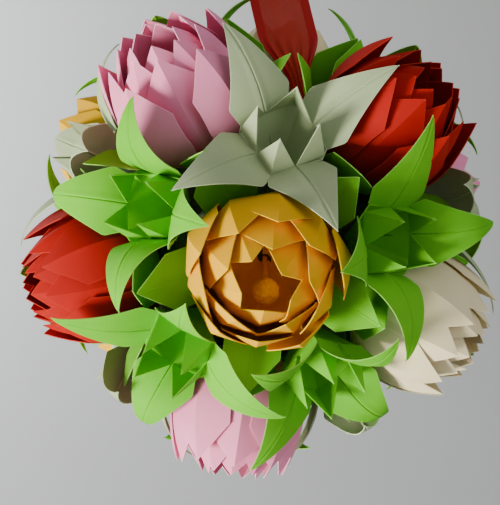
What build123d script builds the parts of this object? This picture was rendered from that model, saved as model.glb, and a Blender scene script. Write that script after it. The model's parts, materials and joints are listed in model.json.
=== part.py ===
from build123d import *
import os
from itertools import combinations
from math import cos, degrees, acos, hypot, radians, sin, sqrt, tan

# Hanging ball of folded paper flowers: a foam core carries twelve tulips, one at each
# corner of an icosahedron, and nineteen lilies, one over each of its faces but the one
# where the ribbon is glued. Millimetres, +Z up. The origin is the top of the hanging
# ribbon's loop, inside which a hook passes.

# ---- the ball as a whole
core_radius = 55.0           # foam ball that every flower is glued to
hang_drop = 150.0            # from the loop's top down to the middle of the ball
seat_gap = 0.15              # glue line between a paper foot and the core
front_droop = 10.9           # degrees that the front tulip looks down
front_turn = 0.9             # degrees that it looks to the right
ring_turn = 45.7             # degrees from the right to the first tulip around it

# ---- tulips: four rings of five petals, each petal a strip with a right-angled point
petals_per_ring = 5
petal_width = 31.0
petal_paper = 0.45           # the folded strip's two layers
tulip_radius = 31.5          # ridge of the outer ring at its belly
tulip_top = 101.0            # height of the outer points above the middle of the ball
belly_height = 72.0
petal_foot_radius = 11.0     # where the outer ring stands on the core
petal_lean = 5.0             # how far a point leans in from the belly
nest_gap = 1.2               # clear space between one ring and the next, at the belly
foot_gap = 1.5               # the same, at the feet
foot_share = 0.52            # half width of a foot, as a share of its radius
ring_climb = [0.0, 1.5, 3.0, 4.0]           # each ring's points above the outer ring's
low_tulip = 11               # the tulip behind the ribbon, whose petals are shorter
low_tulip_cut = 12.0         # by so much
ring_tilts = [(22, 22), (21, 28), (25, 32), (27, 41)]   # fall of the left and right half

# ---- calyx: five leaves under each tulip, pointing at the five tulips around it
calyx_width = 25.0
calyx_foot_radius = 13.6
calyx_knee = (33.0, 65.5)    # distance from the tulip's axis, height above the middle
calyx_tip = (46.5, 78.0)
calyx_tilt = 12

# ---- pistil: a crumpled ball on a stalk, sagging under its weight
pistil_radius = 5.0
stalk_radius = 0.8
pistil_height = 80.0
pistil_sag = 7.0

# ---- lilies: a square sheet folded to a cup with four leaves and four peaks
lily_sheet = 90.0            # side of the square sheet
lily_paper = 0.5
cup_foot = 2.0               # radius of the stem's blunt end
cup_half_side = 12.6         # from the axis to the crease where a leaf turns out
crease_half = 10.6           # half length of that crease
cup_height = 21.0            # from the stem's end up to the crease
peak_radius = 11.5           # top of a peak, from the axis
cup_taper = 0.04             # the inside is this share narrower than the outside
root_bite = 0.3              # how far a leaf's root runs into the cup's wall
leaf_fold_at = 20.0          # from the crease to the leaf's second bend
rise_mid, rise_swing = 41.5, 6.5            # degrees: first stretch of a leaf
reach_mid, reach_swing = 12.5, 7.5          # degrees: second stretch

ribbon_face = (1, 2, 10)     # the three tulips round the face that the ribbon takes

# Turn of each lily about its own axis, from the direction of its first tulip.
lily_turns = [35, 80, 20, 20, 25, 40, 75, 40, 5, 35,
              5, 25, 40, 5, 5, 20, 20, 35, 20]

# ---- ribbon: one strip doubled to a loop, glued to the core between two flowers
ribbon_width = 25.0
ribbon_gathered = 9.0        # its width where it is gathered at the flowers
ribbon_thick = 0.4
loop_radius = 7.0
ribbon_foot = (15.0, -16.0)  # where it meets the core, right of and in front of the middle
ribbon_pass = (-12.0, 80.0)  # where it passes the low tulip: in front, height above
ribbon_split = (-5.5, 100.0) # where the strands part: in front of the middle, height above
strand_gap = 0.2             # between the two strands where they part

# ---- directions of the flowers
middle = Vector(0, 0, -hang_drop)
golden_polar = degrees(acos(1 / sqrt(5)))   # angle between neighbouring tulips


def flower_axes():
    """Axes of the twelve tulips, and of the twenty lilies with their three tulips."""
    front = Vector(
        sin(radians(front_turn)) * cos(radians(front_droop)),
        -cos(radians(front_turn)) * cos(radians(front_droop)),
        -sin(radians(front_droop)),
    )
    side = front.cross(Vector(0, 0, -1)).normalized()
    rise = front.cross(side)
    ring = []
    for k in range(petals_per_ring):
        turn = radians(ring_turn + 360 / petals_per_ring * k)
        out = side * cos(turn) + rise * sin(turn)
        ring.append(front * cos(radians(golden_polar)) + out * sin(radians(golden_polar)))
    near = [front] + ring
    tulips = near + [axis * -1 for axis in near]
    lilies = []
    for trio in combinations(range(len(tulips)), 3):
        adjacent = all(tulips[i].dot(tulips[j]) > 0.4 for i, j in combinations(trio, 2))
        if adjacent and trio != ribbon_face:
            axis = (tulips[trio[0]] + tulips[trio[1]] + tulips[trio[2]]).normalized()
            lilies.append((axis, trio))
    return tulips, lilies


def stand(axis, towards):
    """Place with its origin in the middle of the ball, Z along axis, X towards a point."""
    return Plane(origin=middle, z_dir=axis, x_dir=towards - axis * towards.dot(axis))


# ---- folded paper as closed solids
def flat(corners):
    """Whether all the corners lie in one plane."""
    a, b, c = corners[:3]
    normal = (b - a).cross(c - a).normalized()
    return all(abs(normal.dot(corner - a)) < 1e-7 for corner in corners[3:])


def folded_solid(panels, inner):
    """Closed solid between flat panels, given by their corners, and their inner copies."""
    faces = []
    used = {}
    for panel in panels:
        faces.append(Face(Wire.make_polygon(panel)))
        faces.append(Face(Wire.make_polygon([inner(p) for p in panel])))
        for p, q in zip(panel, panel[1:] + panel[:1]):
            ends = frozenset(tuple(round(c, 5) for c in end) for end in (p, q))
            used.setdefault(ends, []).append((p, q))
    for sides in used.values():
        if len(sides) == 1:
            p, q = sides[0]
            rim = [p, q, inner(q), inner(p)]
            strips = [rim] if flat(rim) else [rim[:3], [rim[0], rim[2], rim[3]]]
            faces += [Face(Wire.make_polygon(strip)) for strip in strips]
    return Solid(Shell(faces))


def petal(foot, belly, tip, half_width, foot_half, tilts, paper):
    """Strip of paper on one ridge line, its two halves falling away by their tilts."""
    ridge = [Vector(radius, 0, height) for radius, height in (foot, belly, tip)]
    along = (ridge[2] - ridge[1]).normalized()
    shoulder = ridge[2] - along * half_width        # a right-angled point
    panels = []
    for sign, tilt in ((1, tilts[0]), (-1, tilts[1])):
        out = Vector(-sin(radians(tilt)), sign * cos(radians(tilt)), 0)
        foot_side = ridge[0] + out * foot_half
        belly_side = ridge[1] + out * half_width
        panels.append([ridge[0], ridge[1], belly_side, foot_side])
        panels.append([ridge[1], ridge[2], shoulder + out * half_width, belly_side])
    shift = Vector(-paper, 0, 0.55 * paper)
    return folded_solid(panels, lambda p: p + shift)


def core_height(radius, gap=seat_gap):
    """Height of the core's skin at a distance from a flower's axis, plus a gap."""
    return sqrt(core_radius**2 - radius**2) + gap


def tulip_petals(top):
    """The twenty petals of one tulip of that height, standing on the core about its axis."""
    belly_radius, foot_radius = tulip_radius, petal_foot_radius
    step = 360 / petals_per_ring
    petals = []
    for ring, tilts in enumerate(ring_tilts):
        one = petal(
            (foot_radius, core_height(foot_radius)),
            (belly_radius, belly_height),
            (belly_radius - petal_lean, top + ring_climb[ring]),
            petal_width / 2,
            foot_share * foot_radius,
            tilts,
            petal_paper,
        )
        first = step / 2 if ring % 2 == 0 else 0
        petals += [Rot(0, 0, first + step * k) * one for k in range(petals_per_ring)]
        inward = cos(radians(max(tilts)))
        belly_radius = belly_radius * inward - nest_gap
        foot_radius = foot_radius * inward - foot_gap
    return petals


def calyx_leaves():
    """The five leaves under one tulip."""
    one = petal(
        (calyx_foot_radius, core_height(calyx_foot_radius)),
        calyx_knee,
        calyx_tip,
        calyx_width / 2,
        foot_share * calyx_foot_radius,
        (calyx_tilt, calyx_tilt),
        petal_paper,
    )
    return [Rot(0, 0, 360 / petals_per_ring * k) * one for k in range(petals_per_ring)]


def pistil(axis):
    """Ball on its stalk, in its own place, sagging away from the tulip's axis."""
    down = Vector(0, 0, -1)
    sag = (down - axis * down.dot(axis)) * pistil_sag
    climb = pistil_height - core_radius
    dip = stalk_radius * sag.length / hypot(climb, sag.length)
    foot = middle + axis * (core_radius + seat_gap + dip)
    head = middle + axis * pistil_height + sag
    stalk = Solid.make_cylinder(stalk_radius, (head - foot).length, Plane(foot, z_dir=head - foot))
    return stalk + Solid.make_sphere(pistil_radius, Plane(head))


# ---- lilies
diagonal = lily_sheet / sqrt(2)              # stem's end to a leaf's point, in the paper
leaf_widest = diagonal / 2                   # the widest place, from the point
leaf_half = leaf_widest * tan(radians(22.5))
stem_end = core_height(cup_foot)
crease_height = stem_end + cup_height
leaf_length = diagonal - hypot(cup_height, cup_half_side)
corner_radius = hypot(cup_half_side, crease_half)
peak_height = crease_height + sqrt(
    (lily_sheet / 2 - hypot(cup_height, corner_radius)) ** 2
    - (corner_radius - peak_radius) ** 2
)


def turned(point, quarter):
    """The point turned about Z by so many quarter turns."""
    return point.rotate(Axis.Z, 90 * quarter)


def lily_cup():
    """Stem, trumpet and four peaks of a lily, as one thin folded wall."""
    foot_half = cup_foot * tan(radians(22.5))
    panels = []
    foot = []
    for k in range(4):
        low_a = turned(Vector(cup_foot, -foot_half, stem_end), k)
        low_b = turned(Vector(cup_foot, foot_half, stem_end), k)
        next_low = turned(Vector(cup_foot, -foot_half, stem_end), k + 1)
        crease_a = turned(Vector(cup_half_side, -crease_half, crease_height), k)
        valley = turned(Vector(cup_half_side, 0, crease_height), k)
        crease_b = turned(Vector(cup_half_side, crease_half, crease_height), k)
        next_a = turned(Vector(cup_half_side, -crease_half, crease_height), k + 1)
        next_valley = turned(Vector(cup_half_side, 0, crease_height), k + 1)
        peak = Vector(peak_radius, 0, peak_height).rotate(Axis.Z, 90 * k + 45)
        foot += [low_a, low_b]
        panels.append([low_a, low_b, crease_b, valley, crease_a])
        panels.append([low_b, next_low, next_a, crease_b])
        panels.append([valley, crease_b, peak])
        panels.append([crease_b, next_a, peak])
        panels.append([next_a, next_valley, peak])
    panels.append(foot)

    def inside(p):
        return Vector(p.X * (1 - cup_taper), p.Y * (1 - cup_taper), p.Z + 0.8 * lily_paper)

    return folded_solid(panels, inside)


def lily_leaf(azimuth):
    """One leaf, as a flat stretch that rises from the crease and one that reaches out."""
    swing = cos(radians(3 * azimuth))                 # +1 over a tulip, -1 between two
    rise = radians(rise_mid + rise_swing * swing)
    reach = radians(reach_mid + reach_swing * swing)
    first = Vector(cos(rise), 0, sin(rise))
    second = Vector(cos(reach), 0, sin(reach))
    root = Vector(cup_half_side, 0, crease_height) - first * root_bite
    widest = root + first * (leaf_length - leaf_widest + root_bite)
    fold = root + first * (leaf_fold_at + root_bite)
    tip = fold + second * (leaf_length - leaf_fold_at)
    fold_half = leaf_half * (leaf_length - leaf_fold_at) / leaf_widest
    side = Vector(0, 1, 0)
    first_panel = [
        root - side * crease_half,
        widest - side * leaf_half,
        fold - side * fold_half,
        fold + side * fold_half,
        widest + side * leaf_half,
        root + side * crease_half,
    ]
    second_panel = [fold - side * fold_half, tip, fold + side * fold_half]
    shift = Vector(-0.4 * lily_paper, 0, 0.9 * lily_paper)
    return folded_solid([first_panel, second_panel], lambda p: p + shift)


def lily(turn):
    """One folded sheet: the cup with its four leaves, turned about its own axis."""
    leaves = [Rot(0, 0, 90 * k) * lily_leaf(turn + 90 * k) for k in range(4)]
    return Rot(0, 0, turn) * lily_cup().fuse(*leaves)


# ---- ribbon
def hanging_ribbon():
    """The doubled strip: two strands pressed together up to the split, then the loop."""
    foot_x, foot_y = ribbon_foot
    pass_y, pass_height = ribbon_pass
    split_y, split_height = ribbon_split
    near_edge = hypot(foot_x - ribbon_gathered / 2, foot_y)
    foot_z = core_height(near_edge) - hang_drop
    pass_z = pass_height - hang_drop
    split_z = split_height - hang_drop
    heights = [foot_z, pass_z, split_z, 0]
    halves = [ribbon_gathered / 2, ribbon_gathered / 2, ribbon_width / 2, ribbon_width / 2]
    centres = [foot_x * z / foot_z for z in heights]
    sides = [(x - half, z) for x, half, z in zip(centres, halves, heights)]
    sides += [(x + half, z) for x, half, z in zip(centres, halves, heights)][::-1]
    front_view = make_face(Plane.XZ * Polyline(*sides, close=True))
    loop_middle = -loop_radius - ribbon_thick

    def teardrop(inset):
        """Side view of the loop, drawn in from its outside by the inset."""
        half = ribbon_thick + strand_gap / 2 - inset
        circle = Pos(0, loop_middle) * Edge.make_circle(loop_radius + ribbon_thick - inset)
        low = split_z + inset
        return make_hull([circle, Edge.make_line((split_y - half, low), (split_y + half, low))])

    half = ribbon_thick + strand_gap / 2
    tail = make_face(
        Polyline(
            (foot_y - half, foot_z),
            (pass_y - half, pass_z),
            (split_y - half, split_z),
            (split_y + half, split_z),
            (pass_y + half, pass_z),
            (foot_y + half, foot_z),
            close=True,
        )
    )
    side_view = teardrop(0) + tail - teardrop(ribbon_thick)
    band = extrude(Plane.YZ * side_view, foot_x + ribbon_width, both=True)
    return band & extrude(front_view, hang_drop, both=True)


if __name__ == "__main__":
    os.makedirs("parts", exist_ok=True)
    tulip_axes, lily_axes = flower_axes()
    parts = {
        "core_ball": Solid.make_sphere(core_radius, Plane(middle)),
        "hanging_ribbon": hanging_ribbon(),
    }
    petals = Compound(children=tulip_petals(tulip_top))
    low_petals = Compound(children=tulip_petals(tulip_top - low_tulip_cut))
    leaves = Compound(children=calyx_leaves())
    for number, axis in enumerate(tulip_axes, start=1):
        neighbour = next(other for other in tulip_axes if 0.4 < other.dot(axis) < 0.5)
        place = stand(axis, neighbour).location
        chosen = low_petals if number == low_tulip else petals
        parts[f"tulip_{number:02d}_petals"] = place * chosen
        parts[f"tulip_{number:02d}_calyx"] = place * leaves
        parts[f"tulip_{number:02d}_pistil"] = pistil(axis)
    for number, (axis, trio) in enumerate(lily_axes, start=1):
        place = stand(axis, tulip_axes[trio[0]]).location
        parts[f"lily_{number:02d}"] = place * lily(lily_turns[number - 1])
    for name, part in parts.items():
        export_step(part, os.path.join("parts", f"{name}.step"))
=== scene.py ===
"""Hanging ball of folded paper tulips and lilies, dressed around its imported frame.

Flower sizes are in millimetres; a flower's heights count from the middle of the ball.
"""

import json
import logging
from dataclasses import dataclass, field
from enum import Enum
from itertools import combinations
from math import acos, cos, hypot, pi, radians, sin, sqrt, tan
from typing import Any, Sequence

import bmesh
import bpy
import numpy as np
from mathutils import Matrix, Vector
from mathutils import noise as hills

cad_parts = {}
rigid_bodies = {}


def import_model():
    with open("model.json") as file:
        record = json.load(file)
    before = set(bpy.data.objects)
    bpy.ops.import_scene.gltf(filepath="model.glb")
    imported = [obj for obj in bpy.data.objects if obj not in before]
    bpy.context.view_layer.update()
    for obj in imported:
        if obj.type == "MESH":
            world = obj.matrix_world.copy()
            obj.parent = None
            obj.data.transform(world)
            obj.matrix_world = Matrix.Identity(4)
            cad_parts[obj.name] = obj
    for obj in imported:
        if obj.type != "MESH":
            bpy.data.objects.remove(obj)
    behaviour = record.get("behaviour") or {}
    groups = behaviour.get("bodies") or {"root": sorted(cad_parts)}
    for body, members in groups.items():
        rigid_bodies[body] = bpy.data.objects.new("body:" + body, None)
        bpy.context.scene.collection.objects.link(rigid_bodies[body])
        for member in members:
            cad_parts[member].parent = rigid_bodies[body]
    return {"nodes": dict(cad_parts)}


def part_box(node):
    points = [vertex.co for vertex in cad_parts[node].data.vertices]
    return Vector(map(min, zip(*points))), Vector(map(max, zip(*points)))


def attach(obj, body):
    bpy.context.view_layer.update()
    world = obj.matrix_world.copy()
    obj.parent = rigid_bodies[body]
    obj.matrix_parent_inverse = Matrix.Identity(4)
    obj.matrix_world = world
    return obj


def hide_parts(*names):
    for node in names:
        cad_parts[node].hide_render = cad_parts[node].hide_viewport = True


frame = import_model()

log = logging.getLogger("paper_ball")
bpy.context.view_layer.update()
MM = 0.001
FOLD_ANGLE = radians(24)  # sharper folds than this are shaded as edges
TINY = 1e-12
LEAST_HALF = 0.02  # half width of the narrowest row of a pointed sheet
EDGE_COLUMN = 0.32  # width of the column along a cut edge
CUT_EDGE = 0.1  # points nearer to a sheet's border than this are on its cut edge
Array = np.ndarray
Colour = tuple[float, float, float]
Place = tuple[float, float, float]
Side = tuple[float, float]


# ---------------------------------------------------------------- shader maths
class Sock:
    """A shader socket that can be used in a Python expression."""

    def __init__(self, graph: "Graph", socket: bpy.types.NodeSocket) -> None:
        """Wrap one output socket of a graph."""
        self.graph = graph
        self.socket = socket

    def _math(self, operation: str, *values: Any) -> "Sock":
        """Math node of an operation on the values."""
        return self.graph.node("ShaderNodeMath", {"operation": operation}, *values)

    def __add__(self, other: Any) -> "Sock":
        """Sum."""
        return self._math("ADD", self, other)

    __radd__ = __add__

    def __sub__(self, other: Any) -> "Sock":
        """Difference."""
        return self._math("SUBTRACT", self, other)

    def __rsub__(self, other: Any) -> "Sock":
        """Difference, from a number."""
        return self._math("SUBTRACT", other, self)

    def __mul__(self, other: Any) -> "Sock":
        """Product."""
        return self._math("MULTIPLY", self, other)

    __rmul__ = __mul__

    def over(self, edge: float, width: float) -> "Sock":
        """1 well above an edge, 0 well below it, smooth in between."""
        return self.graph.node(
            "ShaderNodeMapRange",
            {"interpolation_type": "SMOOTHSTEP"},
            self,
            edge - width / 2,
            edge + width / 2,
        )

    def abs(self) -> "Sock":
        """Size without its sign."""
        return self._math("ABSOLUTE", self)


class Nodes:
    """Adds nodes to one tree."""

    def __init__(self, tree: bpy.types.NodeTree) -> None:
        """Work in a tree."""
        self.tree = tree

    def raw(self, kind: str, settings: dict[str, Any], *values: Any, **named: Any) -> Any:
        """Add a node, apply its settings, then set or link its inputs.

        Args:
            kind: the node's type.
            settings: properties that are set before the inputs.
            values: inputs in order; None leaves one as it is.
            named: inputs by name, with _ for a space.

        Returns:
            The node.
        """
        node = self.tree.nodes.new(kind)
        for key, value in settings.items():
            setattr(node, key, value)
        live = [socket for socket in node.inputs if socket.enabled]
        for socket, value in zip(live, values):
            self.feed(socket, value)
        for key, value in named.items():
            wanted = key.replace("_", " ")
            self.feed(next(s for s in live if s.name == wanted), value)
        return node

    def feed(self, socket: bpy.types.NodeSocket, value: Any) -> None:
        """Link a value to an input, or set it as its constant."""
        if isinstance(value, Sock):
            value = value.socket
        if isinstance(value, bpy.types.NodeSocket):
            self.tree.links.new(value, socket)
        elif value is not None:
            if isinstance(value, tuple) and len(value) == 3 and socket.type == "RGBA":
                value = (*value, 1)
            socket.default_value = value

    def out(self, kind: str, settings: dict[str, Any], *values: Any, **named: Any) -> Any:
        """Add a node as raw() does, and give its first live output."""
        made = self.raw(kind, settings, *values, **named)
        return next(s for s in made.outputs if s.enabled)


class Graph(Nodes):
    """Node tree of one material, built from expressions."""

    def __init__(self, name: str) -> None:
        """Start a material with an empty tree."""
        self.material = bpy.data.materials.new(name)
        self.material.use_nodes = True
        super().__init__(self.material.node_tree)
        self.tree.nodes.clear()

    def node(self, kind: str, settings: dict[str, Any], *values: Any, **named: Any) -> Sock:
        """Add a node as raw() does, and give its first live output for expressions."""
        return Sock(self, self.out(kind, settings, *values, **named))

    def mix(self, factor: Any, first: Any, second: Any) -> Sock:
        """Colour between the first and the second."""
        return self.node("ShaderNodeMix", {"data_type": "RGBA"}, factor, first, second)

    def place(self) -> Sock:
        """Position on the piece, in metres."""
        made = self.raw("ShaderNodeTexCoord", {})
        return Sock(self, made.outputs["Object"])

    def noise(self, scale: float, detail: float = 2.0) -> Sock:
        """Noise from 0 to 1, at a number of features for each metre."""
        return self.node("ShaderNodeTexNoise", {}, Vector=self.place(), Scale=scale, Detail=detail)

    def attribute(self, name: str) -> Sock:
        """Number stored on the mesh."""
        made = self.raw("ShaderNodeAttribute", {"attribute_name": name})
        return Sock(self, made.outputs["Fac"])

    def finish(self, shader: Any) -> bpy.types.Material:
        """Connect the surface shader and give the material."""
        self.raw("ShaderNodeOutputMaterial", {}, Surface=shader)
        return self.material


def linear(red: int, green: int, blue: int) -> Colour:
    """Scene colour of a display colour given from 0 to 255."""
    def channel(value: int) -> float:
        """One channel."""
        c = value / 255
        return c / 12.92 if c <= 0.04045 else ((c + 0.055) / 1.055) ** 2.4

    return channel(red), channel(green), channel(blue)


@dataclass(frozen=True)
class PaperFinish:
    """Coloured craft paper: dyed fibres, soft mottling, and a painted highlight that lightens its
    cut edges.
    """

    slot: str
    colour: Colour
    shade: Colour
    # colour of the pale fibre flecks, and of the painted highlight along cut edges
    edge: Colour
    roughness: float = 0.62
    grain_roughness: float = 0.16
    cloud_scale: float = 38.0
    fibre_scale: float = 1500.0
    grain_scale: float = 5200.0
    fibre_show: float = 0.06
    edge_least: float = 0.2
    edge_spread: float = 0.7
    relief: float = 0.00006

    def material(self, label: str) -> bpy.types.Material:
        """Build the paper's material.

        Args:
            label: the material's name.

        Returns:
            The material.
        """
        g = Graph(label)
        cloud = g.noise(self.cloud_scale, 3)
        fibre = g.noise(self.fibre_scale, 3)
        grain = g.noise(self.grain_scale, 2)
        body = g.mix(cloud.over(0.5, 0.5), self.colour, self.shade)
        body = g.mix(fibre.over(0.62, 0.3) * self.fibre_show, body, self.edge)
        # painted highlight: cut edges lightened towards the edge colour, unevenly along the fibres
        edge_highlight = g.attribute("rim") * (self.edge_least + fibre * self.edge_spread)
        height = fibre * 0.6 + grain * 0.4
        bump = g.node(
            "ShaderNodeBump", {}, Strength=0.35, Distance=self.relief, Height=height
        )
        shader = g.node(
            "ShaderNodeBsdfPrincipled",
            {},
            Base_Color=g.mix(edge_highlight, body, self.edge),
            Roughness=self.roughness + grain * self.grain_roughness,
            Normal=bump,
            IOR=1.45,
            Specular_IOR_Level=0.2,
        )
        return g.finish(shader)


@dataclass(frozen=True)
class RibbonFinish:
    """Sheer woven ribbon with a dense satin band along each edge."""

    slot: str = "red_ribbon"
    sheer: Colour = linear(205, 60, 38)
    satin: Colour = linear(172, 12, 10)
    thread: float = 0.00045
    band_from: float = 0.0088
    band_blur: float = 0.0006
    cloud_scale: float = 160.0
    cover_least: float = 0.42
    relief: float = 0.0001

    def material(self) -> bpy.types.Material:
        """Build the ribbon's material on its own length and width."""
        g = Graph("sheer_ribbon")
        across = g.attribute("across")
        along = g.attribute("along")
        turns = 2 * pi / self.thread
        warp = g.node("ShaderNodeMath", {"operation": "SINE"}, across * turns)
        weft = g.node("ShaderNodeMath", {"operation": "SINE"}, along * turns)
        weave = (warp + weft) * 0.25 + 0.5
        band = across.abs().over(self.band_from, self.band_blur)
        cloud = g.noise(self.cloud_scale, 3)
        middle = g.mix(cloud * 0.35, self.sheer, self.satin)
        cover = band + (1 - band) * (self.cover_least + weave * 0.5)
        bump = g.node("ShaderNodeBump", {}, Strength=0.5, Distance=self.relief, Height=weave)
        shader = g.node(
            "ShaderNodeBsdfPrincipled",
            {},
            Base_Color=g.mix(band, middle, self.satin),
            Roughness=0.55 - band * 0.2,
            Alpha=g.node("ShaderNodeMath", {"operation": "MINIMUM"}, cover, 1.0),
            Normal=bump,
            Specular_IOR_Level=0.25,
        )
        return g.finish(shader)


@dataclass(frozen=True)
class PaintedShadeFoamFinish:
    """Foam core, coloured dark olive green as painted shade for the shadowed gaps between the
    flowers.
    """

    slot: str = "core_foam"
    bead_scale: float = 420.0
    # both colours are kept dark as painted shade, since the core shows only in the shadowed gaps
    # between flowers
    seam_colour: Colour = linear(34, 46, 20)
    bead_colour: Colour = linear(58, 78, 34)
    relief: float = 0.0004

    def material(self) -> bpy.types.Material:
        """Build the foam's material, whose dark colours are painted shade."""
        g = Graph("bead_foam")
        bead = g.node(
            "ShaderNodeTexVoronoi",
            {"feature": "DISTANCE_TO_EDGE"},
            Vector=g.place(),
            Scale=self.bead_scale,
        )
        seam = bead.over(0.05, 0.1)
        bump = g.node("ShaderNodeBump", {}, Strength=0.6, Distance=self.relief, Height=seam)
        shader = g.node(
            "ShaderNodeBsdfPrincipled",
            {},
            Base_Color=g.mix(seam, self.seam_colour, self.bead_colour),
            Roughness=0.6,
            Normal=bump,
        )
        return g.finish(shader)


class Paper(Enum):
    """The papers that the flowers are folded from."""

    # the third colour of each paper is its pale fibres and the painted highlight of its cut edges
    YELLOW = PaperFinish("yellow_paper", (0.86, 0.46, 0.0), (0.82, 0.42, 0.0),
                         (0.95, 0.66, 0.02))
    RED = PaperFinish("red_paper", (0.5, 0.009, 0.003), (0.4, 0.006, 0.002),
                      (0.66, 0.05, 0.03))
    PINK = PaperFinish("pink_paper", (0.97, 0.32, 0.5), (0.92, 0.27, 0.44),
                       (1.0, 0.6, 0.74))
    CREAM = PaperFinish("cream_paper", (0.95, 0.82, 0.5), (0.92, 0.77, 0.45),
                        (1.0, 0.92, 0.7))
    GREEN = PaperFinish("green_paper", (0.16, 0.56, 0.012), (0.12, 0.47, 0.008),
                        (0.42, 0.8, 0.16))
    SAGE = PaperFinish("sage_paper", (0.42, 0.5, 0.27), (0.37, 0.45, 0.24),
                       (0.7, 0.82, 0.56))
    PISTIL = PaperFinish("pistil_paper", (1.0, 0.62, 0.02), (0.95, 0.5, 0.01),
                         (1.0, 0.8, 0.2))


# ---------------------------------------------------------------- mesh building
class Sheets:
    """Collects thin closed paper sheets, each given as a grid of points, into one mesh."""

    def __init__(self) -> None:
        """Start with no sheets."""
        self.points: list[Array] = []
        self.faces: list[list[int]] = []
        self.rim: list[Array] = []
        self.count = 0

    def add(self, grid: Array, rim: Array, thick: float) -> None:
        """Add one sheet, thickened against its normals and closed round its edge.

        Args:
            grid: points, rows by columns by 3, whose normals point outwards.
            rim: how much each point is part of a cut edge or fold, 0 to 1.
            thick: thickness of the paper.
        """
        rows, columns = grid.shape[:2]
        across = np.gradient(grid, axis=1)
        up = np.gradient(grid, axis=0)
        normal = np.cross(across, up)
        length = np.linalg.norm(normal, axis=2, keepdims=True)
        bad = length[..., 0] < TINY
        normal = normal / np.maximum(length, TINY)
        for r, c in zip(*np.nonzero(bad)):
            normal[r, c] = normal[max(r - 1, 0), c]
        back = grid - normal * thick
        size = rows * columns
        ids = self.count + np.arange(size).reshape(rows, columns)
        quads = np.stack([ids[:-1, :-1], ids[:-1, 1:], ids[1:, 1:], ids[1:, :-1]], axis=-1)
        quads = quads.reshape(-1, 4)
        self.faces += quads.tolist() + (quads[:, ::-1] + size).tolist()
        loop = np.concatenate([ids[0], ids[1:, -1], ids[-1, -2::-1], ids[-2:0:-1, 0]])
        after = np.roll(loop, -1)
        self.faces += np.stack([after, loop, loop + size, after + size], axis=-1).tolist()
        self.points += [grid.reshape(-1, 3), back.reshape(-1, 3)]
        self.rim += [rim.reshape(-1), rim.reshape(-1)]
        self.count += 2 * size

    def mesh(self, name: str, place: Matrix | None = None, merge: bool = True) -> bpy.types.Mesh:
        """Make the mesh, with its rim values stored on it.

        Args:
            name: the mesh's name.
            place: transform of the points.
            merge: whether doubled points are merged.

        Returns:
            The mesh, with its faces shaded smooth.
        """
        data = bpy.data.meshes.new(name)
        data.from_pydata(np.vstack(self.points).tolist(), [], self.faces)
        layer = data.attributes.new("rim", "FLOAT", "POINT")
        layer.data.foreach_set("value", np.concatenate(self.rim).astype(np.float32))
        if place is not None:
            data.transform(place)
        if merge:
            tidy = bmesh.new()
            tidy.from_mesh(data)
            bmesh.ops.dissolve_degenerate(tidy, dist=1e-7, edges=tidy.edges)
            bmesh.ops.remove_doubles(tidy, verts=tidy.verts, dist=2e-6)
            tidy.to_mesh(data)
            tidy.free()
        data.shade_smooth()
        data.set_sharp_from_angle(angle=FOLD_ANGLE)
        return data


def bezier(points: Sequence[Array], t: Array) -> Array:
    """Points of a cubic curve at the values of t."""
    a, b, c, d = (np.asarray(p, float) for p in points)
    t = t[:, None]
    return (1 - t) ** 3 * a + 3 * (1 - t) ** 2 * t * b + 3 * (1 - t) * t**2 * c + t**3 * d


def run(curve: Array) -> Array:
    """Distance along a curve of each of its points."""
    steps = np.linalg.norm(np.diff(curve, axis=0), axis=1)
    return np.concatenate([[0], np.cumsum(steps)])


def at(curve: Array, want: Array) -> Array:
    """Points of a flat curve at the wanted distances along it."""
    along = run(curve)
    return np.stack([np.interp(want, along, curve[:, k]) for k in range(2)], axis=1)


def by_length(curve: Array, count: int) -> tuple[Array, float]:
    """The curve with evenly spaced points, and its length."""
    length = float(run(curve)[-1])
    return at(curve, np.linspace(0, length, count)), length


def shown(name: str, data: bpy.types.ID) -> bpy.types.Object:
    """New object of some data, in the scene."""
    made = bpy.data.objects.new(name, data)
    bpy.context.scene.collection.objects.link(made)
    return made


def piece(name: str, data: bpy.types.Mesh, finish: bpy.types.Material) -> bpy.types.Object:
    """Object of a mesh and its material, at the origin."""
    data.materials.clear()
    data.materials.append(finish)
    return shown(name, data)


def register(made: bpy.types.Object, slot: str, *nodes: str) -> None:
    """Attach a finished piece to its body, hide the nodes that it stands for, and report it."""
    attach(made, "root")
    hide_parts(*nodes)
    log.info("%s: %d faces, stands for %s", made.name, len(made.data.polygons), ", ".join(nodes))


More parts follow.
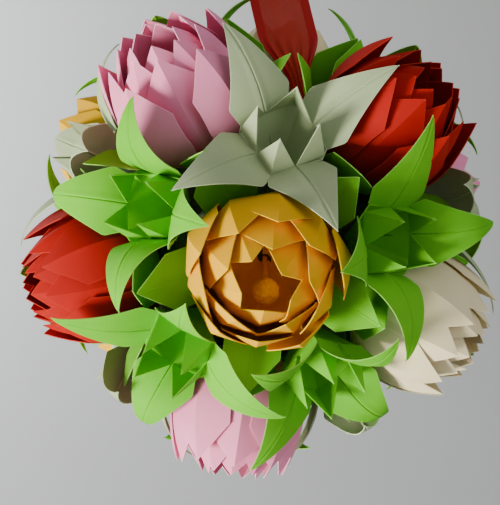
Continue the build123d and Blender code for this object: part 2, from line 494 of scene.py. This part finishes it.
# ---------------------------------------------------------------- the ball's layout
@dataclass
class Layout:
    """Where the flowers look, about the middle of the ball."""

    front_droop: float = 10.9
    front_turn: float = 0.9
    ring_turn: float = 45.7
    ribbon_face: tuple[int, ...] = (1, 2, 10)
    core_radius: float = 55.0
    seat_gap: float = 0.15
    middle: Vector = field(init=False)
    tulips: list[Vector] = field(init=False)
    lilies: list[tuple[Vector, tuple[int, ...]]] = field(init=False)

    def __post_init__(self) -> None:
        """Work the axes out from the front tulip's direction."""
        low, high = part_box("core_ball")
        self.middle = (low + high) / 2
        droop, turn = radians(self.front_droop), radians(self.front_turn)
        front = Vector((sin(turn) * cos(droop), -cos(turn) * cos(droop), -sin(droop)))
        side = front.cross(Vector((0, 0, -1))).normalized()
        rise = front.cross(side)
        polar = acos(1 / sqrt(5))
        near = [front]
        for k in range(5):
            angle = radians(self.ring_turn + 72 * k)
            out = side * cos(angle) + rise * sin(angle)
            near.append(front * cos(polar) + out * sin(polar))
        self.tulips = near + [-axis for axis in near]
        self.lilies = []
        for trio in combinations(range(12), 3):
            if all(self.tulips[i].dot(self.tulips[j]) > 0.4 for i, j in combinations(trio, 2)):
                if trio != self.ribbon_face:
                    axis = sum((self.tulips[i] for i in trio), Vector())
                    self.lilies.append((axis.normalized(), trio))

    def seat(self, radius: float) -> float:
        """Height of the core's skin, with the glue on it, at a distance from a flower's axis."""
        return sqrt(self.core_radius**2 - radius**2) + self.seat_gap

    def stand(self, axis: Vector, towards: Vector) -> Matrix:
        """Transform with Z along an axis and X towards a direction, about the middle."""
        x = (towards - axis * towards.dot(axis)).normalized()
        turn = Matrix((x, axis.cross(x), axis)).transposed()
        return Matrix.Translation(self.middle) @ turn.to_4x4()


# ---------------------------------------------------------------- rings by geometry nodes
class RingTree(Nodes):
    """Geometry Nodes tree that sets copies of one petal round an axis, a little unevenly."""

    inputs: dict[str, str] = {
        "Petal": "NodeSocketGeometry",
        "Count": "NodeSocketInt",
        "First turn": "NodeSocketFloat",
        "Unevenness": "NodeSocketFloat",
        "Seed": "NodeSocketInt",
        "Paper": "NodeSocketMaterial",
    }

    def __init__(self) -> None:
        """Build the tree once; every ring of petals uses it."""
        super().__init__(bpy.data.node_groups.new("petal_ring", "GeometryNodeTree"))
        face = self.tree.interface
        self.ids = {
            name: face.new_socket(name, in_out="INPUT", socket_type=kind).identifier
            for name, kind in self.inputs.items()
        }
        face.new_socket("Ring", in_out="OUTPUT", socket_type="NodeSocketGeometry")
        given = self.raw("NodeGroupInput", {}).outputs
        points = self.out("GeometryNodePoints", {}, given["Count"])
        step = self._math("DIVIDE", 2 * pi, given["Count"])
        turn = self._math("MULTIPLY", self.out("GeometryNodeInputIndex", {}), step)
        turn = self._math("ADD", turn, given["First turn"])
        wobble = self.out(
            "FunctionNodeRandomValue",
            {"data_type": "FLOAT_VECTOR"},
            (-1, -1, -1),
            (1, 1, 1),
            Seed=given["Seed"],
        )
        scaled = self.out(
            "ShaderNodeVectorMath", {"operation": "SCALE"}, wobble, Scale=given["Unevenness"]
        )
        parts = self.raw("ShaderNodeSeparateXYZ", {}, scaled).outputs
        heading = self._math("ADD", turn, parts["Z"])
        heading = self.out("ShaderNodeCombineXYZ", {}, Y=parts["Y"], Z=heading)
        copies = self.out(
            "GeometryNodeInstanceOnPoints",
            {},
            Points=points,
            Instance=given["Petal"],
            Rotation=heading,
        )
        real = self.out("GeometryNodeRealizeInstances", {}, copies)
        paint = self.out("GeometryNodeSetMaterial", {}, Geometry=real, Material=given["Paper"])
        self.raw("NodeGroupOutput", {}, paint)

    def _math(self, operation: str, first: Any, second: Any) -> Any:
        """Output of a Math node on two values or sockets."""
        return self.out("ShaderNodeMath", {"operation": operation}, first, second)

    def ring(self, petal: bpy.types.Mesh, values: dict[str, Any]) -> bpy.types.Mesh:
        """Copies of the petal as one plain mesh.

        Args:
            petal: mesh of one petal at azimuth 0.
            values: the tree's inputs by name.

        Returns:
            The mesh of the whole ring.
        """
        holder = shown("ring_maker", petal)
        modifier = holder.modifiers.new("ring", "NODES")
        modifier.node_group = self.tree
        for name, value in values.items():
            modifier[self.ids[name]] = value
        ready = holder.evaluated_get(bpy.context.evaluated_depsgraph_get())
        made = bpy.data.meshes.new_from_object(ready)
        holder.modifiers.clear()
        bpy.data.objects.remove(holder)
        return made


def joined(meshes: Sequence[bpy.types.Mesh], name: str, place: Matrix) -> bpy.types.Mesh:
    """One mesh of several, moved to its place."""
    whole = bmesh.new()
    for one in meshes:
        whole.from_mesh(one)
    data = bpy.data.meshes.new(name)
    whole.to_mesh(data)
    whole.free()
    data.transform(place)
    return data


# ---------------------------------------------------------------- tulips
def stations(half: float, lips: Sequence[float], columns: int) -> Array:
    """Distances across a strip, denser at its crease and its cut edges.

    Args:
        half: half width of the strip there.
        lips: distances that shape the crease.
        columns: points between the crease and the edge.

    Returns:
        The distances, from the left edge to the right.
    """
    inner = min(lips[-1], 0.35 * half)
    near = np.asarray(lips) * inner / lips[-1]
    edge = max(half - EDGE_COLUMN, 0.9 * half)
    middle = np.linspace(inner, edge, columns + 1)[1:]
    right = np.concatenate([near, middle, [half]])
    return np.concatenate([-right[:0:-1], right])


@dataclass
class Strip:
    """One petal: a strip with a right-angled point, wrapped about a flower's axis.

    Its side view is a cubic curve from foot to tip, whose handles are low and high. Each is a
    distance from the axis and a height above the middle of the ball.
    """

    foot: Side
    low: Side
    high: Side
    tip: Side
    half_width: float
    foot_half: float
    widening: float = 0.45
    ridged: bool = True
    flatness: Side = (0.6, 1.0)
    slack: float = 0.1
    overlap: float = 0.5
    crease: float = 0.03
    crease_growth: float = 3.0
    wrap: float = radians(36)
    thick: float = 0.36
    groove: float = 0.0
    groove_half: float = 0.45
    groove_from: float = 0.3
    groove_over: float = 0.2
    rows: int = 18
    point_rows: int = 12
    lips: tuple[float, ...] = (0.0, 0.2, 0.5)
    side_columns: int = 8

    def side_view(self) -> tuple[Array, Array, float]:
        """Work out the rows along the ridge, closer together in the point.

        Returns:
            Each row's distance along the strip, its place in the side view, and the length.
        """
        curve = bezier([self.foot, self.low, self.high, self.tip], np.linspace(0, 1, 240))
        length = float(run(curve)[-1])
        shoulder = length - self.half_width
        rows = np.concatenate([
            np.linspace(0, shoulder, self.rows),
            np.linspace(shoulder, length - LEAST_HALF, self.point_rows + 1)[1:],
        ])
        return rows, at(curve, rows), length

    def around(self, across: float, ridge: float, share: float) -> Side:
        """Angle about the axis and distance from it of a point of the strip.

        Args:
            across: distance from the ridge, in the paper.
            ridge: the ridge's distance from the axis in this row.
            share: how far along the strip the row is, 0 to 1.

        Returns:
            The angle and the distance.
        """
        flat = self.flatness[0] + (self.flatness[1] - self.flatness[0]) * share
        angle = across / (ridge * (1 + self.slack * flat))
        if self.ridged:
            facet = cos(self.wrap / 2) / cos(abs(angle) % self.wrap - self.wrap / 2)
        else:
            facet = 1 / cos((angle + self.wrap) % (2 * self.wrap) - self.wrap)
        size = abs(across)
        opened = min(1.0, max(0.0, (share - self.groove_from) / self.groove_over))
        radius = ridge * (1 + flat * (facet - 1))
        radius -= self.overlap * angle / self.wrap
        radius -= size * self.crease * (1 + self.crease_growth * share**2)
        radius -= self.groove * opened * max(0.0, 1 - size / self.groove_half)
        return angle, radius

    def build(self, sheets: Sheets) -> None:
        """Add the strip to the sheets, at azimuth 0 about Z, in metres."""
        rows, ridge, length = self.side_view()
        grid, rims = [], []
        for s, (out, height) in zip(rows, ridge):
            grown = min(1.0, s / (self.widening * length))
            widest = self.foot_half + (self.half_width - self.foot_half) * grown
            half = max(LEAST_HALF, min(widest, length - s))
            line, edge = [], []
            for x in stations(half, self.lips, self.side_columns):
                angle, radius = self.around(x, out, s / length)
                line.append((radius * cos(angle), radius * sin(angle), height))
                edge.append(float(half - abs(x) < CUT_EDGE))
            grid.append(line)
            rims.append(edge)
        sheets.add(np.array(grid) * MM, np.array(rims), self.thick * MM)


@dataclass
class Tulip:
    """One tulip: four rings of five petals, a calyx of five leaves and a pistil."""

    number: int
    paper: Paper
    layout: Layout
    closed: float = 0.0
    shorter: float = 0.0
    petal_width: float = 31.0
    bellies: tuple[float, ...] = (31.2, 28.7, 26.4, 24.3)
    tips: tuple[float, ...] = (24.0, 19.2, 14.0, 8.8)
    tops: tuple[float, ...] = (100.5, 102.0, 103.5, 104.5)
    feet: tuple[float, ...] = (11.0, 9.3, 7.8, 2.8)
    foot_shares: tuple[float, ...] = (0.52, 0.56, 0.62, 0.9)
    widenings: tuple[float, ...] = (0.45, 0.45, 0.45, 0.26)
    low_rise: float = 2.5
    high_out: float = 3.8
    high_height: float = 80.0
    high_share: float = 0.7
    unevenness: float = 0.02
    calyx_width: float = 25.0
    calyx_foot: float = 13.6
    calyx_foot_share: float = 0.52
    calyx_low: Side = (26.0, 55.5)
    calyx_high: Side = (35.0, 70.0)
    calyx_tip: Side = (47.0, 77.5)
    calyx_crease: float = 0.22
    calyx_groove: float = 0.3
    calyx_unevenness: float = 0.01
    pistil_radius: float = 5.0
    pistil_height: float = 80.0
    pistil_sag: float = 7.0
    pistil_folds: tuple[Side, ...] = ((2.3, 0.1), (5.0, 0.04))
    stalk_gap: float = 0.4
    stalk_radius: float = 0.8
    stalk_flare: float = 0.5
    stalk_twist: float = 5.0
    stalk_sides: int = 14
    stalk_steps: int = 24

    def __post_init__(self) -> None:
        """Find the tulip's axis and place."""
        tulips = self.layout.tulips
        self.axis = tulips[self.number - 1]
        near = next(other for other in tulips if 0.4 < other.dot(self.axis) < 0.5)
        self.place = self.layout.stand(self.axis, near)
        self.name = f"tulip_{self.number:02d}"

    def _ring(self, tree: RingTree, strip: Strip, values: dict[str, Any]) -> bpy.types.Mesh:
        """Five copies of a strip round the axis."""
        sheets = Sheets()
        strip.build(sheets)
        return tree.ring(sheets.mesh("strip"), {"Count": 5, **values})

    def _register(
        self, part: str, rings: Sequence[bpy.types.Mesh], paper: Paper, finish: bpy.types.Material
    ) -> None:
        """Join the rings in their place, as the piece that stands for one node."""
        name = f"{self.name}_{part}"
        data = joined(rings, name, self.place)
        data.shade_smooth()
        data.set_sharp_from_angle(angle=FOLD_ANGLE)
        register(piece(f"{name}_paper", data, finish), paper.value.slot, name)

    def petals(self, tree: RingTree, finish: bpy.types.Material) -> None:
        """Build the four rings."""
        rings = []
        sizes = zip(
            self.bellies, self.tips, self.tops, self.feet, self.foot_shares, self.widenings
        )
        for ring, (belly, tip, top, foot, share, widening) in enumerate(sizes):
            strip = Strip(
                foot=(foot, self.layout.seat(foot)),
                low=(belly, self.layout.seat(foot) + self.low_rise),
                high=(belly + self.high_out, self.high_height - self.high_share * self.shorter),
                tip=(tip * (1 - self.closed), top - self.shorter),
                half_width=self.petal_width / 2,
                foot_half=share * foot,
                widening=widening,
            )
            values = {
                "First turn": pi / 5 if ring % 2 == 0 else 0.0,
                "Unevenness": self.unevenness,
                "Seed": 10 * self.number + ring,
                "Paper": finish,
            }
            rings.append(self._ring(tree, strip, values))
        self._register("petals", rings, self.paper, finish)

    def calyx(self, tree: RingTree, finish: bpy.types.Material) -> None:
        """Build the five leaves under the petals."""
        strip = Strip(
            foot=(self.calyx_foot, self.layout.seat(self.calyx_foot)),
            low=self.calyx_low,
            high=self.calyx_high,
            tip=self.calyx_tip,
            half_width=self.calyx_width / 2,
            foot_half=self.calyx_foot_share * self.calyx_foot,
            ridged=False,
            flatness=(1.0, 1.0),
            overlap=0.0,
            crease=self.calyx_crease,
            crease_growth=0.0,
            groove=self.calyx_groove,
        )
        values = {
            "First turn": 0.0,
            "Unevenness": self.calyx_unevenness,
            "Seed": 200 + self.number,
            "Paper": finish,
        }
        self._register("calyx", [self._ring(tree, strip, values)], Paper.GREEN, finish)

    def _crumple(self, whole: bmesh.types.BMesh) -> None:
        """Press folds into the round head of the pistil."""
        shift = Vector((self.number * 3.1, self.number * 1.7, 0))
        for vert in whole.verts:
            unit = vert.co.normalized()
            size = 1 - sum(depth for _, depth in self.pistil_folds)
            for step, (scale, depth) in enumerate(self.pistil_folds, start=1):
                size += depth * (1 - 2 * abs(hills.noise(unit * scale + shift * step)))
            vert.co = unit * self.pistil_radius * MM * size

    def _stalk(self, whole: bmesh.types.BMesh, place: Matrix, length: float) -> None:
        """Add the stalk: a strip of paper twisted to a three-edged cord.

        Args:
            whole: the pistil's mesh.
            place: transform from the stalk's own frame, which stands on its foot.
            length: length of the stalk in metres.
        """
        rings = []
        for step in range(self.stalk_steps + 1):
            share = step / self.stalk_steps
            radius = (self.stalk_radius + self.stalk_flare * share**3) * MM
            ring = []
            for k in range(self.stalk_sides):
                around = 2 * pi * k / self.stalk_sides
                out = radius * (1 + 0.25 * cos(3 * around))
                angle = around + share * self.stalk_twist
                local = Vector((out * cos(angle), out * sin(angle), share * length))
                ring.append(whole.verts.new(place @ local))
            rings.append(ring)
        for low, high in zip(rings, rings[1:]):
            for k in range(self.stalk_sides):
                n = (k + 1) % self.stalk_sides
                whole.faces.new([low[k], low[n], high[n], high[k]])
        whole.faces.new(rings[0][::-1])
        whole.faces.new(rings[-1])

    def pistil(self, finish: bpy.types.Material) -> None:
        """Build the crumpled ball on its stalk."""
        down = Vector((0, 0, -1))
        sag = (down - self.axis * down.dot(self.axis)) * self.pistil_sag * MM
        foot = self.layout.middle + self.axis * (self.layout.core_radius + self.stalk_gap) * MM
        head = self.layout.middle + self.axis * self.pistil_height * MM + sag
        turn = (head - foot).to_track_quat("Z", "Y").to_matrix().to_4x4()
        whole = bmesh.new()
        bmesh.ops.create_icosphere(whole, subdivisions=5, radius=self.pistil_radius * MM)
        self._crumple(whole)
        bmesh.ops.transform(whole, matrix=Matrix.Translation(head) @ turn, verts=whole.verts)
        self._stalk(whole, Matrix.Translation(foot) @ turn, (head - foot).length)
        name = f"{self.name}_pistil"
        data = bpy.data.meshes.new(name)
        whole.to_mesh(data)
        whole.free()
        data.attributes.new("rim", "FLOAT", "POINT")
        data.shade_smooth()
        register(piece(f"{name}_paper", data, finish), Paper.PISTIL.value.slot, name)


# ---------------------------------------------------------------- lilies
@dataclass
class Leaf:
    """Pose of one leaf of a lily."""

    azimuth: float
    tip_radius: float
    tip_height: float


@dataclass
class Lily:
    """One lily: a square sheet folded to a trumpet with four leaves and four peaks."""

    number: int
    paper: Paper
    layout: Layout
    turn: float
    leaves: tuple[Leaf, ...] = ()
    sheet: float = 90.0
    thick: float = 0.36
    cup_foot: float = 2.0
    half_side: float = 12.6
    crease_half: float = 10.6
    cup_height: float = 21.0
    peak_radius: float = 11.5
    peak_blunt: float = 0.02
    usual_reach: Side = (47.0, 0.5)
    usual_height: Side = (87.0, 4.0)
    stretch_limit: float = 0.985
    bend_limits: Side = (0.1, 0.95)
    bend_step: float = 0.01
    bend_power: float = 1.15
    root_bite: float = 0.25
    slit_depth: Side = (0.25, 0.65)
    slit_half: Side = (0.3, 0.25)
    lip: float = 0.4
    lip_at: float = 0.8
    lip_spread: float = 0.7
    hollow: float = 0.016
    rows: int = 30
    panel_rows: int = 9
    lips: tuple[float, ...] = (0.0, 0.22, 0.6, 1.1)
    side_columns: int = 9

    def __post_init__(self) -> None:
        """Work the sheet's lengths out from its side."""
        self.axis, trio = self.layout.lilies[self.number - 1]
        self.place = self.layout.stand(self.axis, self.layout.tulips[trio[0]])
        self.slope = tan(radians(22.5))
        diagonal = self.sheet / sqrt(2)
        self.widest = diagonal / 2
        self.leaf_half = self.widest * self.slope
        self.stem_end = self.layout.seat(self.cup_foot)
        self.crease = self.stem_end + self.cup_height
        self.leaf_length = diagonal - hypot(self.cup_height, self.half_side)
        corner = hypot(self.half_side, self.crease_half)
        rise = (self.sheet / 2 - hypot(self.cup_height, corner)) ** 2
        self.peak = self.crease + sqrt(rise - (corner - self.peak_radius) ** 2)
        if not self.leaves:
            self.leaves = tuple(self._usual(self.turn + 90 * k) for k in range(4))

    def _usual(self, azimuth: float) -> Leaf:
        """Pose of a leaf that clears the tulip it lies over, or the gap between two."""
        swing = cos(radians(3 * azimuth))
        (reach, reach_swing), (height, height_swing) = self.usual_reach, self.usual_height
        return Leaf(azimuth, reach + reach_swing * swing, height + height_swing * swing)

    def _side_view(self, leaf: Leaf) -> tuple[Array, Array, Array, Array]:
        """Curve of a leaf from its crease to its tip, which keeps the paper's length.

        Args:
            leaf: the leaf's pose.

        Returns:
            For each row: distance to the tip, distance from the axis, height and slope.
        """
        reach = leaf.tip_radius - self.half_side
        climb = leaf.tip_height - self.crease
        chord = min(hypot(reach, climb), self.stretch_limit * self.leaf_length)
        bend, most = self.bend_limits
        while sin(bend) / bend > chord / self.leaf_length and bend < most:
            bend += self.bend_step
        start = np.arctan2(climb, reach) + bend
        s = np.linspace(0, self.leaf_length - LEAST_HALF, self.rows)
        angle = start - 2 * bend * (s / self.leaf_length) ** self.bend_power
        step = self.leaf_length / (self.rows - 1)
        out = np.concatenate([[0], np.cumsum(np.cos(angle[:-1]) * step)])
        up = np.concatenate([[0], np.cumsum(np.sin(angle[:-1]) * step)])
        x = self.half_side + out - self.root_bite * cos(start)
        z = self.crease + up - self.root_bite * sin(start)
        return self.leaf_length - s, x, z, angle

    def _half(self, to_tip: float) -> float:
        """Half width of a leaf at a distance from its tip."""
        if to_tip < self.widest:
            return max(to_tip * self.slope, LEAST_HALF)
        share = (to_tip - self.widest) / (self.leaf_length - self.widest)
        return self.leaf_half - (self.leaf_half - self.crease_half) * share

    def _relief(self, size: float, opening: float) -> float:
        """Height of a leaf's slit, lips and hollow.

        Args:
            size: distance from the slit.
            opening: 1 at the leaf's root, 0 at its tip.

        Returns:
            The height above the leaf's middle line.
        """
        depth = self.slit_depth[0] + self.slit_depth[1] * opening**2
        half = self.slit_half[0] + self.slit_half[1] * opening
        lip = self.lip * opening * np.exp(-((size - self.lip_at) ** 2) / self.lip_spread)
        hollow = self.hollow * size**2 * (1 - 0.6 * opening)
        return lip - depth * max(0.0, 1 - size / half) - hollow

    def _leaf(self, sheets: Sheets, leaf: Leaf) -> None:
        """Add one leaf: two raw edges meet in a slit along its middle."""
        grid, rims = [], []
        for to_tip, x, z, angle in zip(*self._side_view(leaf)):
            half = self._half(to_tip)
            line, edge = [], []
            for across in stations(half, self.lips, self.side_columns):
                off = self._relief(abs(across), to_tip / self.leaf_length)
                line.append((x - sin(angle) * off, across, z + cos(angle) * off))
                edge.append(float(half - abs(across) < CUT_EDGE))
            grid.append(line)
            rims.append(edge)
        turn = np.array(Matrix.Rotation(radians(leaf.azimuth), 3, "Z"))
        sheets.add(np.array(grid) @ turn.T * MM, np.array(rims), self.thick * MM)

    def _panel(self, sheets: Sheets, corners: Sequence[Array], edge: bool = False) -> None:
        """Add one four-cornered panel.

        Args:
            sheets: where the panel goes.
            corners: low left, low right, high right, high left.
            edge: whether its top is a raw edge.
        """
        u = np.linspace(0, 1, self.panel_rows)[None, :, None]
        v = np.linspace(0, 1, self.panel_rows)[:, None, None]
        a, b, c, d = corners
        grid = (1 - v) * ((1 - u) * a + u * b) + v * ((1 - u) * d + u * c)
        rim = np.zeros((self.panel_rows, self.panel_rows))
        if edge:
            rim[-1] = 1
        sheets.add(grid * MM, rim, self.thick * MM)

    def _quarter(self, sheets: Sheets, azimuth: float, after: float) -> None:
        """Add the trumpet's panels under one leaf and the peak beside it.

        Args:
            sheets: where the panels go.
            azimuth: direction of the leaf in degrees.
            after: direction of the next leaf.
        """
        def turned(x: float, y: float, z: float, degrees: float) -> Array:
            """The point turned about the axis."""
            c, s = cos(radians(degrees)), sin(radians(degrees))
            return np.array([x * c - y * s, x * s + y * c, z])

        def foot(side: float, degrees: float) -> Array:
            """A point of the stem's end."""
            return turned(self.cup_foot, side * self.cup_foot * self.slope, self.stem_end, degrees)

        def crease(side: float, degrees: float) -> Array:
            """A point of the crease where a leaf turns out."""
            return turned(self.half_side, side * self.crease_half, self.crease, degrees)

        valley, next_valley = crease(0, azimuth), crease(0, after)
        peak = turned(self.peak_radius, 0, self.peak, (azimuth + after) / 2)
        corner = (crease(1, azimuth) + crease(-1, after)) / 2
        blunt = peak * (1 - self.peak_blunt)
        self._panel(sheets, [foot(-1, azimuth), foot(0, azimuth), valley, crease(-1, azimuth)])
        self._panel(sheets, [foot(0, azimuth), foot(1, azimuth), crease(1, azimuth), valley])
        self._panel(
            sheets, [foot(1, azimuth), foot(-1, after), crease(-1, after), crease(1, azimuth)]
        )
        self._panel(sheets, [valley, corner, peak, valley * self.peak_blunt + blunt], True)
        self._panel(
            sheets, [corner, next_valley, next_valley * self.peak_blunt + blunt, peak], True
        )

    def build(self, finish: bpy.types.Material) -> None:
        """Build the lily."""
        sheets = Sheets()
        azimuths = [leaf.azimuth for leaf in self.leaves]
        for azimuth, after in zip(azimuths, azimuths[1:] + [azimuths[0] + 360]):
            self._quarter(sheets, azimuth, after)
        for leaf in self.leaves:
            self._leaf(sheets, leaf)
        name = f"lily_{self.number:02d}"
        data = sheets.mesh(name, self.place)
        register(piece(f"{name}_paper", data, finish), self.paper.value.slot, name)


# ---------------------------------------------------------------- ribbon
@dataclass
class Ribbon:
    """The doubled ribbon: gathered at the flowers, wide above, with a loop at its top."""

    layout: Layout
    width: float = 25.0
    gathered: float = 9.0
    thick: float = 0.22
    front: tuple[Side, ...] = ((-16.4, 51.0), (-12.6, 80.0), (-6.4, 100.0))
    back: tuple[Side, ...] = ((-15.6, 51.2), (-11.6, 80.0), (-5.2, 100.0))
    loop_radius: float = 7.0
    loop_gap: float = 0.3
    loop_from: Side = (186.0, -6.0)
    loop_points: int = 26
    smoothing: int = 15
    fans_from: float = 62.0
    fans_over: float = 20.0
    lean: float = 15.5
    lean_over: float = 88.0
    lean_power: float = 1.5
    pleat_depth: float = 0.66
    pleat_pitch: float = 5.0
    sway: float = 0.21
    rows: int = 150
    columns: int = 56

    def __post_init__(self) -> None:
        """Find how far the ribbon hangs down to the middle of the ball."""
        self.drop = -self.layout.middle.z / MM

    def centreline(self) -> tuple[Array, float]:
        """Side view of the strip's middle line, from its foot up, round and down again.

        Returns:
            Its points, forward of the middle and above the loop's top, and its length.
        """
        middle = self.drop - self.loop_radius - self.loop_gap
        loop = [
            (self.loop_radius * cos(a), middle + self.loop_radius * sin(a))
            for a in np.radians(np.linspace(*self.loop_from, self.loop_points))
        ]
        points = np.array([*self.front, *loop, *self.back[::-1]])
        dense, _ = by_length(points, 400)
        kernel = np.hanning(self.smoothing)
        kernel /= kernel.sum()
        ends = self.smoothing // 2
        padded = np.pad(dense, ((ends, ends), (0, 0)), mode="edge")
        smooth = np.stack([np.convolve(padded[:, k], kernel, "valid") for k in range(2)], axis=1)
        line, length = by_length(smooth, self.rows)
        line[:, 1] -= self.drop
        return line, length

    def build(self, finish: bpy.types.Material) -> None:
        """Build the ribbon as a sheet with its own length and width stored on it."""
        line, length = self.centreline()
        across = np.linspace(-self.width / 2, self.width / 2, self.columns)
        grid = np.zeros((self.rows, self.columns, 3))
        tangent = np.gradient(line, axis=0)
        tangent /= np.linalg.norm(tangent, axis=1, keepdims=True)
        for r, (y, z) in enumerate(line):
            height = z + self.drop
            share = float(np.clip((height - self.fans_from) / self.fans_over, 0, 1))
            share = share * share * (3 - 2 * share)
            ratio = (self.gathered + (self.width - self.gathered) * share) / self.width
            down = float(np.clip((self.drop - height) / self.lean_over, 0, 1.1))
            depth = self.pleat_depth * sqrt(max(0.0, 1 - ratio**2))
            pleat = depth * np.sin(across * 2 * pi / self.pleat_pitch + 0.4)
            wave = pleat + self.sway * share * np.sin(across * 0.45 + z * 0.05)
            grid[r, :, 0] = self.lean * down**self.lean_power + across * ratio
            grid[r, :, 1] = y - wave * tangent[r][1]
            grid[r, :, 2] = z + wave * tangent[r][0]
        sheets = Sheets()
        sheets.add(grid * MM, np.zeros((self.rows, self.columns)), self.thick * MM)
        data = sheets.mesh("hanging_ribbon", merge=False)
        for name, values in (
            ("across", np.tile(across * MM, self.rows)),
            ("along", np.repeat(np.linspace(0, length * MM, self.rows), self.columns)),
        ):
            layer = data.attributes.new(name, "FLOAT", "POINT")
            layer.data.foreach_set("value", np.tile(values, 2).astype(np.float32))
        made = piece("hanging_ribbon_cloth", data, finish)
        register(made, "red_ribbon", "hanging_ribbon")


# ---------------------------------------------------------------- setting
@dataclass(frozen=True)
class Lamp:
    """A soft round light: where it stands and looks, from the middle of the ball."""

    name: str
    place: Place
    size: float
    power: float
    colour: Colour
    aim: Place = (0.0, 0.0, 0.0)


@dataclass
class Studio:
    """Pale floor and backdrop, soft light from the lower left, and the camera."""

    layout: Layout
    distance: float = 0.45
    lens: float = 74.4
    shift: Side = (-0.0246, -0.0448)
    half_width: float = 4.0
    floor: float = -0.75
    ceiling: float = 3.0
    near: float = -3.0
    cove_from: float = 0.5
    cove_radius: float = 1.1
    cove_steps: int = 12
    sky: Colour = (0.93, 0.96, 1.0)
    sky_strength: float = 0.42
    lamps: tuple[Lamp, ...] = (
        Lamp("key", (-0.8, -0.6, -0.5), 0.4, 30.0, (1.0, 0.98, 0.93)),
        Lamp("fill", (0.9, -0.9, 0.3), 1.2, 4.0, (0.95, 0.97, 1.0)),
        Lamp("wall_wash", (-1.3, 0.9, 0.6), 0.7, 40.0, (0.97, 0.98, 1.0), (-0.6, 1.6, 0.3)),
    )

    def camera(self) -> None:
        """Set the camera level with the middle of the ball, looking along +Y."""
        data = bpy.data.cameras.new("camera")
        data.lens = self.lens
        data.shift_x, data.shift_y = self.shift
        made = shown("camera", data)
        made.location = self.layout.middle + Vector((0, -self.distance, 0))
        made.rotation_euler = (pi / 2, 0, 0)
        bpy.context.scene.camera = made

    def light(self, lamp: Lamp) -> None:
        """Add one lamp."""
        data = bpy.data.lights.new(lamp.name, "AREA")
        data.shape = "DISK"
        data.size = lamp.size
        data.energy = lamp.power
        data.color = lamp.colour
        made = shown(lamp.name, data)
        place = Vector(lamp.place)
        made.location = self.layout.middle + place
        made.rotation_euler = (Vector(lamp.aim) - place).to_track_quat("-Z", "Y").to_euler()

    def backdrop(self) -> None:
        """Build the floor, which curves up into the wall behind the ball."""
        g = Graph("pale_floor")
        colour = g.mix(g.noise(3, 3), linear(176, 178, 176), linear(168, 170, 167))
        finish = g.finish(
            g.node("ShaderNodeBsdfPrincipled", {}, Base_Color=colour, Roughness=0.9)
        )
        radius = self.cove_radius
        profile = [(self.near, self.floor)]
        for a in np.linspace(0, pi / 2, self.cove_steps + 1):
            profile.append(
                (self.cove_from + radius * sin(a), self.floor + radius * (1 - cos(a)))
            )
        profile.append((self.cove_from + radius, self.ceiling))
        points = [(x, y, z) for y, z in profile for x in (-self.half_width, self.half_width)]
        faces = [(2 * k, 2 * k + 1, 2 * k + 3, 2 * k + 2) for k in range(len(profile) - 1)]
        data = bpy.data.meshes.new("floor")
        data.from_pydata(points, [], faces)
        data.shade_smooth()
        piece("floor", data, finish)

    def build(self) -> None:
        """Build the backdrop, the world, the lamps and the camera."""
        self.backdrop()
        world = bpy.data.worlds.new("soft_room")
        bpy.context.scene.world = world
        world.use_nodes = True
        colour, strength = world.node_tree.nodes["Background"].inputs[:2]
        colour.default_value = (*self.sky, 1)
        strength.default_value = self.sky_strength
        for lamp in self.lamps:
            self.light(lamp)
        self.camera()


# ---------------------------------------------------------------- this ball
TULIP_PAPER = (
    Paper.YELLOW, Paper.RED, Paper.PINK, Paper.RED, Paper.PINK, Paper.CREAM,
    Paper.CREAM, Paper.YELLOW, Paper.PINK, Paper.PINK, Paper.CREAM, Paper.YELLOW,
)
CLOSED_TULIPS = {4: 0.2, 6: 0.05}
SHORTER_TULIPS = {11: 12.0}
SAGE_LILIES = {1, 6, 8, 10, 12, 15, 17, 19}
LILY_TURNS = (35, 80, 20, 20, 25, 40, 75, 40, 5, 35, 5, 25, 40, 5, 5, 20, 20, 35, 20)
FRONT_LEAVES = {
    1: (Leaf(26, 49.0, 91), Leaf(124, 46.5, 96), Leaf(220, 45, 93), Leaf(312, 50, 84)),
    2: (Leaf(-2, 44.5, 97), Leaf(72, 45, 88), Leaf(176, 41, 88), Leaf(252, 48, 94)),
    3: (Leaf(14, 43.5, 95), Leaf(108, 39, 97), Leaf(202, 44, 78), Leaf(302, 40, 91)),
    4: (Leaf(20, 46.5, 93), Leaf(108, 46.5, 96), Leaf(200, 43.5, 80), Leaf(294, 49, 80)),
    5: (Leaf(26, 45.5, 92), Leaf(108, 46, 94), Leaf(196, 46, 77), Leaf(306, 41, 94)),
}


def main() -> None:
    """Build every piece in order and report it."""
    logging.basicConfig(level=logging.INFO, format="%(message)s")
    layout = Layout()
    papers = {paper: paper.value.material(paper.value.slot) for paper in Paper}
    core = frame["nodes"]["core_ball"]
    # the core's foam is coloured dark as painted shade for the gaps between the flowers
    core.data.materials.clear()
    core.data.materials.append(PaintedShadeFoamFinish().material())
    log.info("core_ball: the CAD's own node, with its foam")
    tree = RingTree()
    for number, paper in enumerate(TULIP_PAPER, start=1):
        tulip = Tulip(
            number,
            paper,
            layout,
            closed=CLOSED_TULIPS.get(number, 0.0),
            shorter=SHORTER_TULIPS.get(number, 0.0),
        )
        tulip.petals(tree, papers[paper])
        tulip.calyx(tree, papers[Paper.GREEN])
        tulip.pistil(papers[Paper.PISTIL])
    for number, turn in enumerate(LILY_TURNS, start=1):
        paper = Paper.SAGE if number in SAGE_LILIES else Paper.GREEN
        Lily(number, paper, layout, turn, FRONT_LEAVES.get(number, ())).build(papers[paper])
    Ribbon(layout).build(RibbonFinish().material())
    Studio(layout).build()


if __name__ == "__main__":
    main()
